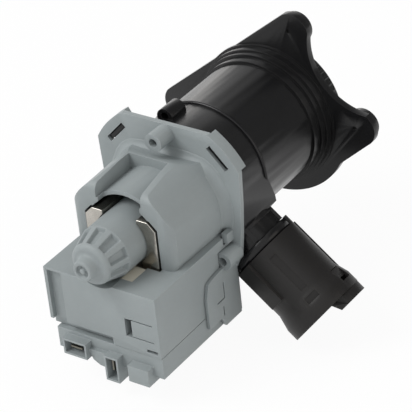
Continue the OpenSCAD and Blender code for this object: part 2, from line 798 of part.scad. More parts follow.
// One vane, lower at its tip than at the hub
module vane() {
    along_x(-0.8, 0.8) {
        polygon([[y_vane, hub_r - 1], [y_vane + vane_h - 4.6, hub_r - 1], [y_vane + vane_h, hub_r + 6],
            [y_vane + vane_h - 2, impeller_r], [y_vane, impeller_r]]);
    }
}

// Filter insert
collar_r = mouth_r - gap;
knob_t = 5;
plug_r = bore_r - ramp_h - 0.7;
seal_r = 1.2;
tongue_r = plug_r - 3;
module filter_knob() {
    cup_r = knob_r - 9;
    color([0.16, 0.16, 0.17]) {
        difference() {
            union() {
                bar(knob_r - 0.8, gap, knob_t);
                for (i = [0 : knob_ribs - 1]) rotate([0, i * 360 / knob_ribs, 0]) {
                    translate([0, 0, knob_r - 1]) bar(1, gap, knob_t - 0.4);
                }
                bar(collar_r, -mouth_l + gap, gap + 0.1);
                bar(plug_r, lug_y - lug_t, -mouth_l + gap + 0.1);
            }
            bar(cup_r - 6, lug_y - lug_t + 2.5, knob_t + 1);
            taper(cup_r - 6, cup_r, knob_t - 6, knob_t + 0.01);
            pipe(collar_r - 2 * seal_r + 0.3, collar_r + 1, -3 - seal_r, -3 + seal_r);
            pipe(tongue_r - 1, tongue_r + 1, lug_y - lug_t - 1, lug_y - lug_t + 1.2);
        }
        grip();
        for (a = [0, 180]) rotate([0, a, 0]) filter_lug();
    }
}

// Grip bar across the knob's cup
module grip() {
    half = knob_r - 15;
    difference() {
        along_x(-3.2, 3.2) polygon([[lug_y - lug_t + 2, -half], [knob_t - 5, -half], [knob_t + 8, -half + 6],
            [knob_t + 8, half - 6], [knob_t - 5, half], [lug_y - lug_t + 2, half]]);
        for (s = [-1, 1]) translate([s * 7.4, knob_t + 3, -half - 1]) cylinder(r = 5.6, h = 2 * half + 2);
    }
}
module filter_lug() {
    along_y(lug_y - lug_t, lug_y) sector(plug_r - 1, bore_r - 0.4, 90 - lug_arc / 2 + 1, 90 + lug_arc / 2 - 1);
}

module filter_seal() {
    color([0.1, 0.1, 0.1]) o_ring(collar_r - seal_r + 0.35, seal_r - 0.1, -3);
}

// Strainer: rings and bars with a closed far end
strain_y = y_rim + chamber_l + 2.5 + 3;
module filter_strainer() {
    r = plug_r - 2.2;
    top = lug_y - lug_t;
    color([0.7, 0.7, 0.68]) {
        pipe(r - 2.4, r + 1.6, top - 3, top);
        pipe(tongue_r - 1 + gap, tongue_r + 1 - gap, top - 0.1, top + 1);
        for (y = [top - 12, strain_y]) pipe(r - 2.4, r + 0.6, y, y + 2);
        for (i = [0 : bars - 1]) rotate([0, (i + 0.5) * 360 / bars, 0]) {
            translate([0, 0, r - 1]) bar(1.4, strain_y + 0.1, top - 0.1);
        }
    }
}

// Hose coupling
shell_bore = shell_r - shell_wall;
ear_a = [-47, 135];
window_a = [-17, 163];
window_w = 3.9;
module coupling_shell() {
    color([0.15, 0.15, 0.16]) outlet() difference() {
        union() {
            rotate_extrude() polygon([[shell_bore, shell_start], [shell_r, shell_start], [shell_r, shell_end - 13.6],
                [flare_r, shell_end - 6], [flare_r, shell_end], [shell_bore + 0.4, shell_end], [shell_bore, shell_end - 2]]);
            for (a = ear_a) rotate([0, 0, 180 + a]) ear();
            // Flat strips along the sides: angle, height and length
            for (f = [[96, 0.7, 22.4], [-84, 1.6, 31]]) rotate([0, 0, 180 + f[0]]) {
                block([shell_r - 1, -5.2, shell_start], [shell_r + f[1], 5.2, shell_start + f[2]]);
            }
        }
        translate([0, 0, shell_start - 6]) cylinder(r = shell_bore, h = shell_end - shell_start + 8);
        for (a = window_a) rotate([0, 0, 180 + a]) window();
        // Shallow grooves between the shell's ribs
        for (a = [44, 224]) rotate([0, 0, 180 + a]) {
            block([shell_r - 0.7, -2, shell_start + 5], [shell_r + 5, 2, shell_start + 26]);
        }
        for (a = [45, 225]) rotate([0, 0, 180 + a]) {
            block([shell_r + 0.2, -3.4, shell_end - 11], [shell_r + 5, 3.4, shell_end - 7.6]);
        }
    }
}
module ear() {
    ear_w = 4.4;
    difference() {
        intersection() {
            block([shell_bore - 2, -ear_w, shell_start - 4.7], [shell_r, ear_w, shell_start + 0.5]);
            translate([0, 0, shell_start - 6]) cylinder(r = shell_r, h = 8);
        }
        translate([0, 0, shell_start - 2.4]) rotate([0, 90, 0]) cylinder(r = 1, h = big);
    }
}
module window() {
    block([shell_bore - 3, -window_w, shell_end - 11.8], [flare_r + 1, window_w, shell_end - 4.3]);
}

// Insert: a sleeve in the mouth with a catch in each window and a release lip
module coupling_insert() {
    sleeve_r = shell_bore - seam;
    lip_out = 4.8;
    color([0.12, 0.12, 0.13]) outlet() difference() {
        union() {
            translate([0, 0, neck_l + 1]) cylinder(r = sleeve_r, h = shell_end - neck_l - 1.2);
            for (a = window_a) rotate([0, 0, 180 + a]) {
                block([hose_r + 1, gap - window_w, shell_end - 11.5], [shell_r + 0.4, window_w - gap, shell_end - 6.4]);
            }
            rotate([0, 0, 180 - 8]) intersection() {
                block([hose_r - 2, -10, shell_end - 4], [flare_r + 1, 10, shell_end + lip_out]);
                union() {
                    translate([0, 0, shell_end + seam]) cylinder(r = flare_r, h = lip_out);
                    translate([0, 0, shell_end - 5]) cylinder(r = sleeve_r - 0.4, h = 8);
                }
            }
        }
        translate([0, 0, neck_l]) cylinder(r = hose_r, h = shell_end);
    }
}
module coupling_seal() {
    color([0.1, 0.1, 0.1]) outlet() translate([0, 0, seal_s]) rotate_extrude() {
        translate([neck_r - 1 + seal_t, 0]) circle(r = seal_t, $fn = 32);
    }
}

pump_housing();
motor_housing();
coil_cover();
terminal_base();
terminal_flat();
terminal_upright();
stator_core();
bobbin();
coil_left();
coil_right();
rotor_magnet();
rotor_shaft();
drive_dog();
thrust_washers();
front_bearing();
front_bearing_rubber();
rear_bearing();
rear_bearing_rubber();
bearing_carrier();
carrier_seal();
impeller();
chamber_seal();
filter_knob();
filter_strainer();
filter_seal();
coupling_shell();
coupling_insert();
coupling_seal();
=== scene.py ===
# %% [markdown]
# # Dressing a washer drain pump
#
# The solids of the pump come from CAD, already assembled and jointed. This lesson gives them the look
# of the real thing: soft-edged injection mouldings in grey and black, a sheet steel core, a cream coil
# former, copper windings and brass contacts, on a white studio sweep.

import json
import math

import bmesh
import bpy
import numpy as np
from mathutils import Matrix, Vector


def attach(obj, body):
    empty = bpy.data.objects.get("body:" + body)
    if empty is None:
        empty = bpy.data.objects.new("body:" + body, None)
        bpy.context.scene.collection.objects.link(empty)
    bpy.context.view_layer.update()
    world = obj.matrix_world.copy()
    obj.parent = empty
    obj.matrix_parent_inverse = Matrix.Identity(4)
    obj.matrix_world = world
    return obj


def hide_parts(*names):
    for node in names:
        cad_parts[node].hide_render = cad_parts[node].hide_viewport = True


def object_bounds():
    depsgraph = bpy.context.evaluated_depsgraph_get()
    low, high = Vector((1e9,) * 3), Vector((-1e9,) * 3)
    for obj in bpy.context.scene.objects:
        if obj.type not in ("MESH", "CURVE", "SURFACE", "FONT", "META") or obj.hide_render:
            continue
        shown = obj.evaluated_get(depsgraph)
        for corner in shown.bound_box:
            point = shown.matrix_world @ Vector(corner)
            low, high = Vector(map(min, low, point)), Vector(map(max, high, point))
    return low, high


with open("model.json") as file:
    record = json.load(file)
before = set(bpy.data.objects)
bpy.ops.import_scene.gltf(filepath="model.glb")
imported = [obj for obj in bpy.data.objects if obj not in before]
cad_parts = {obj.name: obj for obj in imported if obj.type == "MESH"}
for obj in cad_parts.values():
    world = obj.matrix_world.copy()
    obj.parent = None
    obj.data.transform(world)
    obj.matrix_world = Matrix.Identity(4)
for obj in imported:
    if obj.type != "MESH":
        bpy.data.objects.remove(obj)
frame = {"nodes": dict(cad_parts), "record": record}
nodes = frame["nodes"]
cad_low, cad_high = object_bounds()
MM = 0.001
size = [round((b - a) / MM, 1) for a, b in zip(cad_low, cad_high)]
print(len(nodes), "nodes, size in mm", size)

# %% [markdown]
# ## Where the photographer stood
#
# The picture was taken from behind the motor, above it and to its right, from about 1.1 m away with a
# long lens, so the lines hardly converge. A camera could be turned by hand until the outlines meet, but
# its place and lens were worked out instead from round and square features seen in the photo. A rotation
# built from the line of sight and a small roll is easier to read than three Euler angles.

# %% Camera
def look(position, forward, roll):
    """Matrix of a camera: its right is forward x up and its up is right x forward, both turned by roll."""
    forward = forward.normalized()
    level = forward.cross(Vector((0, 0, 1))).normalized()
    upright = level.cross(forward)
    right = math.cos(roll) * level + math.sin(roll) * upright
    up = right.cross(forward)
    turn = Matrix((right, up, -forward)).transposed()
    return Matrix.Translation(position) @ turn.to_4x4()


EYE = Vector((0.5850, -0.8308, 0.5873))
SIGHT = Vector((-0.5127, 0.6733, -0.5327))
ROLL = math.radians(-6.34)
SENSOR, LENS_PIXELS, FRAME_PIXELS = 36, 2404, 412

camera = bpy.data.objects.new("camera", bpy.data.cameras.new("camera"))
bpy.context.scene.collection.objects.link(camera)
camera.data.sensor_width = SENSOR
camera.data.lens = SENSOR * LENS_PIXELS / FRAME_PIXELS
camera.data.clip_start = 0.05
camera.matrix_world = look(EYE, SIGHT, ROLL)
bpy.context.scene.camera = camera
bpy.context.scene.view_settings.view_transform = "Standard"
print("lens", round(camera.data.lens, 1), "mm")

# %% [markdown]
# ## A tent of light
#
# The photo has the even light of a product tent: every face of the grey motor shows nearly the same
# value, while the black tube mirrors white walls along both of its edges and a darker room in its middle.
# Walls round the pump would stand in the way of other views, so the world takes their place. Its
# strength depends on the kind of ray: white for the camera, weaker where it lights matt surfaces, and for
# mirror rays white with a soft dark cone to the right, behind and above the pump.
#
# Materials and the world are both node trees, so a few helpers for nodes come first.

# %% Nodes and links
def feed(tree, value, slot):
    """Give an input its value: a link where the value is another node's socket, else a number or colour."""
    if isinstance(value, bpy.types.NodeSocket):
        tree.links.new(value, slot)
    else:
        slot.default_value = value


def add(tree, kind, **settings):
    """New node of a kind; settings name its properties, or its inputs when they are written in_Name."""
    node = tree.nodes.new("ShaderNode" + kind)
    for key, value in settings.items():
        if key.startswith("in_"):
            feed(tree, value, node.inputs[key[3:].replace("_", " ")])
        else:
            setattr(node, key, value)
    return node


def emptied(owner):
    """The node tree of a material or world, switched on and cleared."""
    owner.use_nodes = True
    owner.node_tree.nodes.clear()
    return owner.node_tree


print("nodes can be added and fed")

# %% Sums and mixes
def math_node(tree, operation, a, b=0.0, clamp=False):
    """Result of a Math node with two inputs, each a socket or a number."""
    node = add(tree, "Math", operation=operation, use_clamp=clamp)
    feed(tree, a, node.inputs[0])
    feed(tree, b, node.inputs[1])
    return node.outputs[0]


def dot_product(tree, a, b):
    """Dot product of two vectors, each a socket or a value."""
    node = add(tree, "VectorMath", operation="DOT_PRODUCT")
    feed(tree, a, node.inputs[0])
    feed(tree, b, node.inputs[1])
    return node.outputs["Value"]


def mix_shader(tree, share, a, b):
    """Shader a where share is 0, and b where it is 1."""
    node = add(tree, "MixShader")
    for slot, value in enumerate((share, a, b)):
        feed(tree, value, node.inputs[slot])
    return node.outputs[0]


print("nodes can be added up and mixed")

# %% World
def seen_directly(tree):
    """1 for camera, mirror and glass rays, 0 for the rays that light a matt surface."""
    path = add(tree, "LightPath")
    seen = math_node(tree, "MAXIMUM", path.outputs["Is Camera Ray"], path.outputs["Is Glossy Ray"])
    return math_node(tree, "MAXIMUM", seen, path.outputs["Is Transmission Ray"])


WHITE = (1, 1, 1, 1)
MATT_LIGHT, DARK_ROOM = 0.62, 0.28
DARK_SIDE = Vector((0.55, 0.62, 0.56)).normalized()

world = bpy.data.worlds.new("tent")
bpy.context.scene.world = world
tree = emptied(world)
seen = add(tree, "Background", in_Color=WHITE, in_Strength=1.0)
lit = add(tree, "Background", in_Color=WHITE, in_Strength=MATT_LIGHT)

# The dark room's edge: full white 63 degrees away from its middle, and darkest within 32 degrees
towards = dot_product(tree, add(tree, "TexCoord").outputs["Generated"], DARK_SIDE)
fall = add(tree, "MapRange", interpolation_type="SMOOTHSTEP", in_Value=towards, in_From_Min=0.45,
           in_From_Max=0.85, in_To_Min=1.0, in_To_Max=DARK_ROOM)
mirrored = add(tree, "Background", in_Color=WHITE, in_Strength=fall.outputs[0])

glossy = add(tree, "LightPath").outputs["Is Glossy Ray"]
bright = mix_shader(tree, glossy, seen.outputs[0], mirrored.outputs[0])
add(tree, "OutputWorld", in_Surface=mix_shader(tree, seen_directly(tree), lit.outputs[0], bright))
print("world", world.name, len(tree.nodes), "nodes")

# %% [markdown]
# ## Lamps
#
# The tent alone would leave the pump without direction. In the photo the light comes mostly from above
# and from the left of the camera, with a warm glimmer along the tube from the right and from behind. Area
# lamps give the same soft edges as softboxes do, where spots or a sun would draw hard shadows.

# %% Softboxes
MIDDLE = Vector((0, -0.08, -0.01))


def lamp(name, position, width, watts, tint=(1, 1, 1)):
    """Square area lamp at a position, turned to the middle of the pump."""
    light = bpy.data.objects.new(name, bpy.data.lights.new(name, "AREA"))
    light.data.size = width
    light.data.energy = watts
    light.data.color = tint
    light.matrix_world = look(Vector(position), MIDDLE - Vector(position), 0)
    bpy.context.scene.collection.objects.link(light)
    return light


lamps = [lamp("key", (-0.75, -0.95, 1.25), 0.9, 16), lamp("side", (1.3, 0.1, 0.5), 0.9, 2.6, (1, 0.93, 0.86)),
         lamp("rim", (-1.1, 1.0, 0.2), 0.7, 1.3, (1, 0.96, 0.92))]
print("lamps", [light.name for light in lamps])

# %% [markdown]
# ## The paper under the pump
#
# The pump stands on white paper that shows no edge and only a faint shadow. A brighter lamp would bleach
# the paper, but the pump as well. So the paper glows by itself for direct rays, and keeps a small matt
# share that takes the shadow.

# %% Floor
def mesh_object(name, vertices, faces):
    """Object from whole arrays of points and faces, shaded smooth."""
    mesh = bpy.data.meshes.new(name)
    mesh.from_pydata(np.asarray(vertices, float).reshape(-1, 3).tolist(), [], np.asarray(faces).tolist())
    mesh.validate()
    mesh.polygons.foreach_set("use_smooth", [True] * len(mesh.polygons))
    made = bpy.data.objects.new(name, mesh)
    bpy.context.scene.collection.objects.link(made)
    return made


HALF, GAP, GLOWING = 4.0, 0.0005, 0.94
floor_z = cad_low.z - GAP
corners = [(-HALF, -HALF, floor_z), (HALF, -HALF, floor_z), (HALF, HALF, floor_z), (-HALF, HALF, floor_z)]
floor = mesh_object("floor", corners, [(0, 1, 2, 3)])
sweep = bpy.data.materials.new("white_sweep")
tree = emptied(sweep)
paper = add(tree, "BsdfDiffuse", in_Color=(0.9, 0.9, 0.9, 1))
glow = add(tree, "Emission", in_Strength=1.0)
share = math_node(tree, "MULTIPLY", seen_directly(tree), GLOWING)
add(tree, "OutputMaterial", in_Surface=mix_shader(tree, share, paper.outputs[0], glow.outputs[0]))
floor.data.materials.append(sweep)
print("floor at", round(floor_z / MM, 1), "mm")

# %% [markdown]
# ## Effects that several finishes share
#
# Moulded parts share a faint mottle in the colour and a fine eroded grain, and their edges get a painted
# highlight: a lighter colour where a rounded edge would catch the light. They could be drawn anew in
# each material. As node groups with named sockets they are built once, and every finish places them with
# its own values.

# %% Group helpers
def group(name, inputs, **outputs):
    """Empty node group with number inputs and their defaults, and outputs of the kinds named.

    Returns the tree, the outputs of its input node and the inputs of its output node.
    """
    tree = bpy.data.node_groups.new(name, "ShaderNodeTree")
    for socket, value in inputs.items():
        made = tree.interface.new_socket(name=socket, in_out="INPUT", socket_type="NodeSocketFloat")
        made.default_value = value
    for socket, kind in outputs.items():
        tree.interface.new_socket(name=socket, in_out="OUTPUT", socket_type="NodeSocket" + kind)
    return tree, tree.nodes.new("NodeGroupInput").outputs, tree.nodes.new("NodeGroupOutput").inputs


def place(tree, made, **values):
    """Outputs of a group placed in a material, with values for its inputs."""
    node = tree.nodes.new("ShaderNodeGroup")
    node.node_tree = made
    for key, value in values.items():
        node.inputs[key].default_value = value
    return node.outputs


def mix_color(tree, share, a, b, blend="MIX"):
    """Colour a where share is 0 and b where it is 1; each may be a socket or a value."""
    node = add(tree, "Mix", data_type="RGBA", blend_type=blend)
    for slot, value in ((0, share), (6, a), (7, b)):
        feed(tree, value, node.inputs[slot])
    return node.outputs[2]


print("group helpers ready")

# %% Mottle
def mottle_group():
    """Shade around 1: 1 + 2 x amount x (broad noise + half a fine noise - 0.75), as a value and a grey."""
    tree, start, end = group("mottle", {"Size": 60.0, "Amount": 0.05}, Shade="Color", Value="Float")
    where = add(tree, "TexCoord").outputs["Object"]
    finer = math_node(tree, "MULTIPLY", start["Size"], 9.0)
    broad = add(tree, "TexNoise", in_Vector=where, in_Scale=start["Size"], in_Detail=3.0)
    fine = add(tree, "TexNoise", in_Vector=where, in_Scale=finer, in_Detail=2.0)
    half_fine = math_node(tree, "MULTIPLY", fine.outputs["Fac"], 0.5)
    centred = math_node(tree, "SUBTRACT", math_node(tree, "ADD", broad.outputs["Fac"], half_fine), 0.75)
    swing = math_node(tree, "MULTIPLY", math_node(tree, "MULTIPLY", centred, start["Amount"]), 2.0)
    value = math_node(tree, "ADD", swing, 1.0)
    shade = add(tree, "CombineColor")
    for channel in range(3):
        feed(tree, value, shade.inputs[channel])
    feed(tree, shade.outputs[0], end["Shade"])
    feed(tree, value, end["Value"])
    return tree


mottle = mottle_group()
print(mottle.name, len(mottle.nodes), "nodes")

# %% Grain
def grain_group():
    """The fine eroded skin of a mould, as a height."""
    tree, start, end = group("grain", {"Size": 2500.0}, Height="Float")
    where = add(tree, "TexCoord").outputs["Object"]
    pits = add(tree, "TexNoise", in_Vector=where, in_Scale=start["Size"], in_Detail=4.0, in_Roughness=0.6)
    feed(tree, pits.outputs["Fac"], end["Height"])
    return tree


grain = grain_group()
print(grain.name, len(grain.nodes), "nodes")

# %% Edge mask for the painted highlight
def edge_highlight_group():
    """Mask of the painted edge highlight: gain x (1 - rounded normal . true normal), 0 on a face and 1 on a
    sharp edge.
    """
    tree, start, end = group("edge", {"Gain": 6.0}, Mask="Float")
    rounded = add(tree, "Bevel", samples=6, in_Radius=0.6 * MM)
    alike = dot_product(tree, rounded.outputs[0], add(tree, "NewGeometry").outputs["Normal"])
    away = math_node(tree, "SUBTRACT", 1.0, alike)
    feed(tree, math_node(tree, "MULTIPLY", away, start["Gain"], clamp=True), end["Mask"])
    return tree


edge = edge_highlight_group()
print(edge.name, len(edge.nodes), "nodes")

# %% [markdown]
# ## Finishes
#
# The pump has a dozen finishes, and all are some base colour with mottle, grain and a painted highlight
# on edges. Drawing twelve trees by hand would repeat the same nodes, so one function builds them: colour
# times mottle, painted lighter on edges as a highlight, roughness carried by the same mottle, the grain as
# a bump. Values that are the same all over the surface, such as coat, stay on the shader's own sockets.

# %% Finish builder
def finish(name, colour, rough, metal=0.0, mottle_size=60.0, mottle_amount=0.05, edge_highlight_colour=None,
           edge_highlight_gain=3.0, specular=0.5, coat=0.0):
    """Material whose colour is colour x mottle, mixed to a painted highlight colour where the edge mask is 1.
    """
    made = bpy.data.materials.new(name)
    tree = emptied(made)
    spots = place(tree, mottle, Size=mottle_size, Amount=mottle_amount)
    tinted = mix_color(tree, 1.0, colour + (1,), spots["Shade"], "MULTIPLY")
    # Painted highlight: edges are mixed to a lighter colour, where the light would catch them
    if edge_highlight_colour:
        painted_highlight = place(tree, edge, Gain=edge_highlight_gain)["Mask"]
        tinted = mix_color(tree, painted_highlight, tinted, edge_highlight_colour + (1,))
    skin = place(tree, grain, Size=2500.0)["Height"]
    bump = add(tree, "Bump", in_Strength=0.6, in_Distance=0.01 * MM, in_Height=skin)
    shader = add(tree, "BsdfPrincipled", in_Metallic=metal, in_Specular_IOR_Level=specular,
                 in_Coat_Weight=coat, in_Base_Color=tinted, in_Normal=bump.outputs["Normal"],
                 in_Roughness=math_node(tree, "MULTIPLY", spots["Value"], rough))
    add(tree, "OutputMaterial", in_Surface=shader.outputs[0])
    return made


print("finish builder ready")

# %% The pump's finishes
# Each edge colour below is a painted highlight, lighter than its base colour
RECIPES = {
    # Filled plastic of the motor: matt, a little blue, with a painted highlight on its edges
    "grey_moulding": dict(colour=(0.275, 0.305, 0.31), rough=0.5, edge_highlight_colour=(0.38, 0.41, 0.42),
                          edge_highlight_gain=2.0, specular=0.35),
    # Polished plastic of the pump housing, which mirrors the tent
    "black_moulding": dict(colour=(0.008, 0.008, 0.0085), rough=0.24, mottle_amount=0.12,
                           edge_highlight_colour=(0.03, 0.029, 0.028), edge_highlight_gain=2.0, specular=0.3),
    # The coupling is duller and browner than the housing
    "coupling_moulding": dict(colour=(0.012, 0.011, 0.0105), rough=0.45, mottle_amount=0.12,
                              edge_highlight_colour=(0.035, 0.031, 0.028), edge_highlight_gain=1.6, specular=0.3),
    "cream_moulding": dict(colour=(0.62, 0.59, 0.5), rough=0.5),
    "pale_moulding": dict(colour=(0.62, 0.61, 0.57), rough=0.45),
    # Punched sheets, with a painted highlight on their cut edges
    "sheet_steel": dict(colour=(0.46, 0.44, 0.4), rough=0.24, metal=1.0, mottle_size=300.0,
                        mottle_amount=0.2, edge_highlight_colour=(0.8, 0.78, 0.72), edge_highlight_gain=3.0),
    "shaft_steel": dict(colour=(0.62, 0.62, 0.63), rough=0.25, metal=1.0),
    # Pressed bronze powder is rough and spotted
    "sintered_bearing": dict(colour=(0.33, 0.29, 0.24), rough=0.6, metal=0.8, mottle_size=900.0,
                             mottle_amount=0.3),
    "contact_brass": dict(colour=(0.2, 0.19, 0.16), rough=0.45, metal=1.0),
    # Copper under clear enamel
    "enamelled_wire": dict(colour=(0.45, 0.2, 0.09), rough=0.3, metal=0.7, coat=0.5),
    "magnet": dict(colour=(0.06, 0.06, 0.065), rough=0.5, mottle_size=500.0, mottle_amount=0.25),
    "seal_rubber": dict(colour=(0.03, 0.03, 0.03), rough=0.7),
}
FINISHES = {name: finish(name, **recipe) for name, recipe in RECIPES.items()}
print("finishes", len(FINISHES))

# %% [markdown]
# ## The sheets of the core
#
# The motor's core is a stack of thin steel sheets, and their edges show as fine lines on its sides.
# Modelled one by one they would be dozens of solids that no one could tell apart, so the lines are drawn:
# a sine wave along the stack darkens the sides and leaves the pole faces clean.

# %% Sheet lines
def add_sheet_lines(made, pitch):
    """Dark where sin(2 pi y / pitch) is above 0.2, on every face that doesn't look along Y."""
    tree = made.node_tree
    shader = next(n for n in tree.nodes if n.type == "BSDF_PRINCIPLED")
    place_y = add(tree, "SeparateXYZ", in_Vector=add(tree, "TexCoord").outputs["Object"]).outputs["Y"]
    facing_y = add(tree, "SeparateXYZ", in_Vector=add(tree, "NewGeometry").outputs["Normal"]).outputs["Y"]
    wave = math_node(tree, "SINE", math_node(tree, "MULTIPLY", place_y, 2 * math.pi / pitch))
    line = math_node(tree, "MULTIPLY", math_node(tree, "SUBTRACT", wave, 0.2), 1.2, clamp=True)
    sideways = math_node(tree, "LESS_THAN", math_node(tree, "ABSOLUTE", facing_y), 0.7)
    plain = shader.inputs["Base Color"].links[0].from_socket
    lined = mix_color(tree, math_node(tree, "MULTIPLY", line, sideways), plain, (0.05, 0.045, 0.04, 1))
    feed(tree, lined, shader.inputs["Base Color"])


SHEET = 0.5 * MM
add_sheet_lines(FINISHES["sheet_steel"], SHEET)
print("sheets of", SHEET / MM, "mm")

# %% Dress the CAD nodes
slot_of = {entry["node"]: entry["material_slot"] for entry in frame["record"]["subparts"]}
for node, slot in slot_of.items():
    nodes[node].data.materials.clear()
    nodes[node].data.materials.append(FINISHES[slot])
print("dressed", len(slot_of), "nodes")

# %% [markdown]
# ## Soft edges on the mouldings
#
# No moulded edge is sharp. A bevel on the solid itself would round the wrong edges, because its mesh is
# loose triangles. So each visible moulding is copied, the triangles are merged into clean faces, and a
# Bevel modifier rounds every edge of the copy by a fraction of a millimetre. The copy stands for the
# solid, which stays for collision.

# %% Clean copies
bodies = frame["record"]["behaviour"]["bodies"]
body_of = {node: body for body, members in bodies.items() for node in members}
SAME_POINT, SAME_PLANE = 0.001 * MM, math.radians(0.6)


def clean_copy(mesh, drop=None):
    """Copy of a mesh of loose triangles, with equal points merged and flat faces joined.

    drop is a test on a face's centre in mm: faces that pass are left out.
    """
    mesh = mesh.copy()
    work = bmesh.new()
    work.from_mesh(mesh)
    bmesh.ops.remove_doubles(work, verts=work.verts, dist=SAME_POINT)
    bmesh.ops.dissolve_limit(work, angle_limit=SAME_PLANE, verts=work.verts, edges=work.edges,
                             delimit={"NORMAL"})
    if drop:
        dropped = [face for face in work.faces if drop(face.calc_center_median() / MM)]
        bmesh.ops.delete(work, geom=dropped, context="FACES")
    for face in work.faces:
        face.smooth = True
    work.to_mesh(mesh)
    work.free()
    return mesh


# %% Softened copies
def softened(node, radius, drop=None, reshape=None):
    """Copy of a CAD node with a bevel of this radius, in mm, on every edge sharper than 28 degrees.

    Faces that drop picks give way to a surface made further below. reshape takes all points in mm and
    returns them moved.
    """
    mesh = clean_copy(nodes[node].data, drop)
    if reshape:
        points = np.empty(3 * len(mesh.vertices))
        mesh.vertices.foreach_get("co", points)
        mesh.vertices.foreach_set("co", (reshape(points.reshape(-1, 3) / MM) * MM).ravel())
    soft = bpy.data.objects.new("soft_" + node, mesh)
    bpy.context.scene.collection.objects.link(soft)
    bevel = soft.modifiers.new("round", "BEVEL")
    bevel.width = radius * MM
    bevel.segments = 3
    bevel.limit_method = "ANGLE"
    bevel.angle_limit = math.radians(28)
    bevel.use_clamp_overlap = True
    bevel.harden_normals = True
    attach(soft, body_of[node])
    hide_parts(node)
    return soft


print("softening ready")

# %% [markdown]
# ## Where a copy departs from its solid
#
# Three mouldings need more than a bevel. The nose in front of the motor gets soft ribs, so the copy
# leaves it out and a surface further below takes its place. The filter knob's ribbed rim hardly shows
# past the flange in the photo, so its points are drawn in towards the axis. The coupling's release lip
# ends early on the side that faces the camera. Moving the copy's points keeps all their faces, where new
# surfaces would have to be fitted to the rest.

# %% The nose left out
NOSE = {"collar": -140.2, "ring": -150.5, "tip": -158.2, "r_collar": 13.5, "r_ring": 10.5, "ribs": 10,
        "depth": 2.2}


def on_nose(c):
    """The turned front of the motor housing, from its collar to its tip."""
    return c.y < NOSE["collar"] - 0.1 and math.hypot(c.x, c.z) < NOSE["r_collar"] + 0.5


print("nose in front of", NOSE["collar"], "mm")

# %% The rim drawn in
def rim_drawn_in(points, cup=30.5, rim=34.3, was=39.6, deeper=4.0, foot=3):
    """The knob's rim: radii from cup to was are scaled to end at rim, and its front comes out by deeper."""
    x, y, z = points.T
    r = np.hypot(x, z)
    pull = np.where(r > cup, (cup + (r - cup) * (rim - cup) / (was - cup)) / np.maximum(r, 1e-6), 1)
    lift = np.where((r > cup + 0.2) & (y > foot), deeper, 0)
    return np.stack([x * pull, y + lift, z * pull], axis=-1)


print("rim ready")

# %% The lip shortened
DROP = math.radians(38.5)
OUTLET = {"at": np.array([0, -69.5, 0]), "along": np.array([math.cos(DROP), 0, -math.sin(DROP)]),
          "across": np.array([-math.sin(DROP), 0, -math.cos(DROP)]), "side": np.array([0, 1, 0])}


def lip_shortened(points, mouth=88.4, half=10.0, shorter=3.5, closer=0.16, turn=math.radians(172)):
    """The release lip beyond the coupling's mouth: scaled along its tangent, and its inner face set closer.

    A point at a place t along the tangent, from -half to half, moves back by shorter x (t + half) / (2 half).
    """
    away = points - OUTLET["at"]
    s = away @ OUTLET["along"]
    tangent = -math.sin(turn) * OUTLET["across"] + math.cos(turn) * OUTLET["side"]
    on_lip = s > mouth + 0.1
    pull = np.where(on_lip, -(away @ tangent + half) * shorter / (2 * half), 0)
    inner = np.where(on_lip & (s < mouth + 0.4), -closer, 0)
    return points + pull[:, None] * tangent + inner[:, None] * OUTLET["along"]


print("outlet slopes down by", round(math.degrees(DROP), 1), "degrees")

# %% Soften the mouldings
DROPPED = {"motor_housing": on_nose}
RESHAPED = {"filter_knob": rim_drawn_in, "coupling_insert": lip_shortened}
EDGE_RADIUS = {"motor_housing": 0.5, "coil_cover": 0.4, "terminal_base": 0.4, "pump_housing": 0.5,
               "coupling_shell": 0.5, "coupling_insert": 0.3, "filter_knob": 0.5, "stator_core": 0.3}
for node, radius in EDGE_RADIUS.items():
    soft = softened(node, radius, drop=DROPPED.get(node), reshape=RESHAPED.get(node))
    print(soft.name, len(soft.data.polygons), "faces")

# %% [markdown]
# ## Surfaces from formulas
#
# Some moulded forms are too soft for cuts and bevels, such as the ribs that melt into the motor's nose
# and the round foot where the hood grows out of its plate. They could be sculpted, but a formula keeps
# them tied to the pump's sizes. Each is a grid of two parameters, worked out for all points at once: rows
# run along the form, and columns go round it.

# %% Grids to meshes
def grid_piece(name, points, node, wrap_rows=False, turn_over=False):
    """Object from a rows x columns x 3 array in mm: each cell of the grid is one face.

    The last column joins the first, and with wrap_rows the last row joins the first as well. turn_over
    makes the faces look the other way, for a grid that would look inwards. The piece rides on the body of
    a CAD node and takes the finish that the node's material slot names.
    """
    rows, columns = points.shape[:2]
    down = np.arange(rows if wrap_rows else rows - 1)[:, None]
    across = np.arange(columns)[None, :]
    a = down * columns + across
    b = down * columns + (across + 1) % columns
    c = (down + 1) % rows * columns + (across + 1) % columns
    d = (down + 1) % rows * columns + across
    faces = np.stack([a, d, c, b] if turn_over else [a, b, c, d], axis=-1).reshape(-1, 4)
    made = mesh_object(name, points.reshape(-1, 3) * MM, faces)
    made.data.materials.append(FINISHES[slot_of[node]])
    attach(made, body_of[node])
    print(name, len(faces), "faces")


print("grids can be made meshes")

# %% [markdown]
# ## The ribbed nose
#
# The nose closes the rotor's can at its free end, and ribs stiffen it. Ribs could be set on a cone as
# solids, but they would meet it in creases. Here the radius is a cone less a pocket depth. The depth is 0
# on a rib and full between two ribs, and fades out towards the front ring, so the ribs rise softly. In
# front of the ring the outline rolls over into a small spigot with a sunk ring round a pin.

# %% Points round the axis
def full_turn(count):
    """Angles of a closed round, as a row."""
    return np.linspace(0, 2 * np.pi, count, endpoint=False)[None, :]


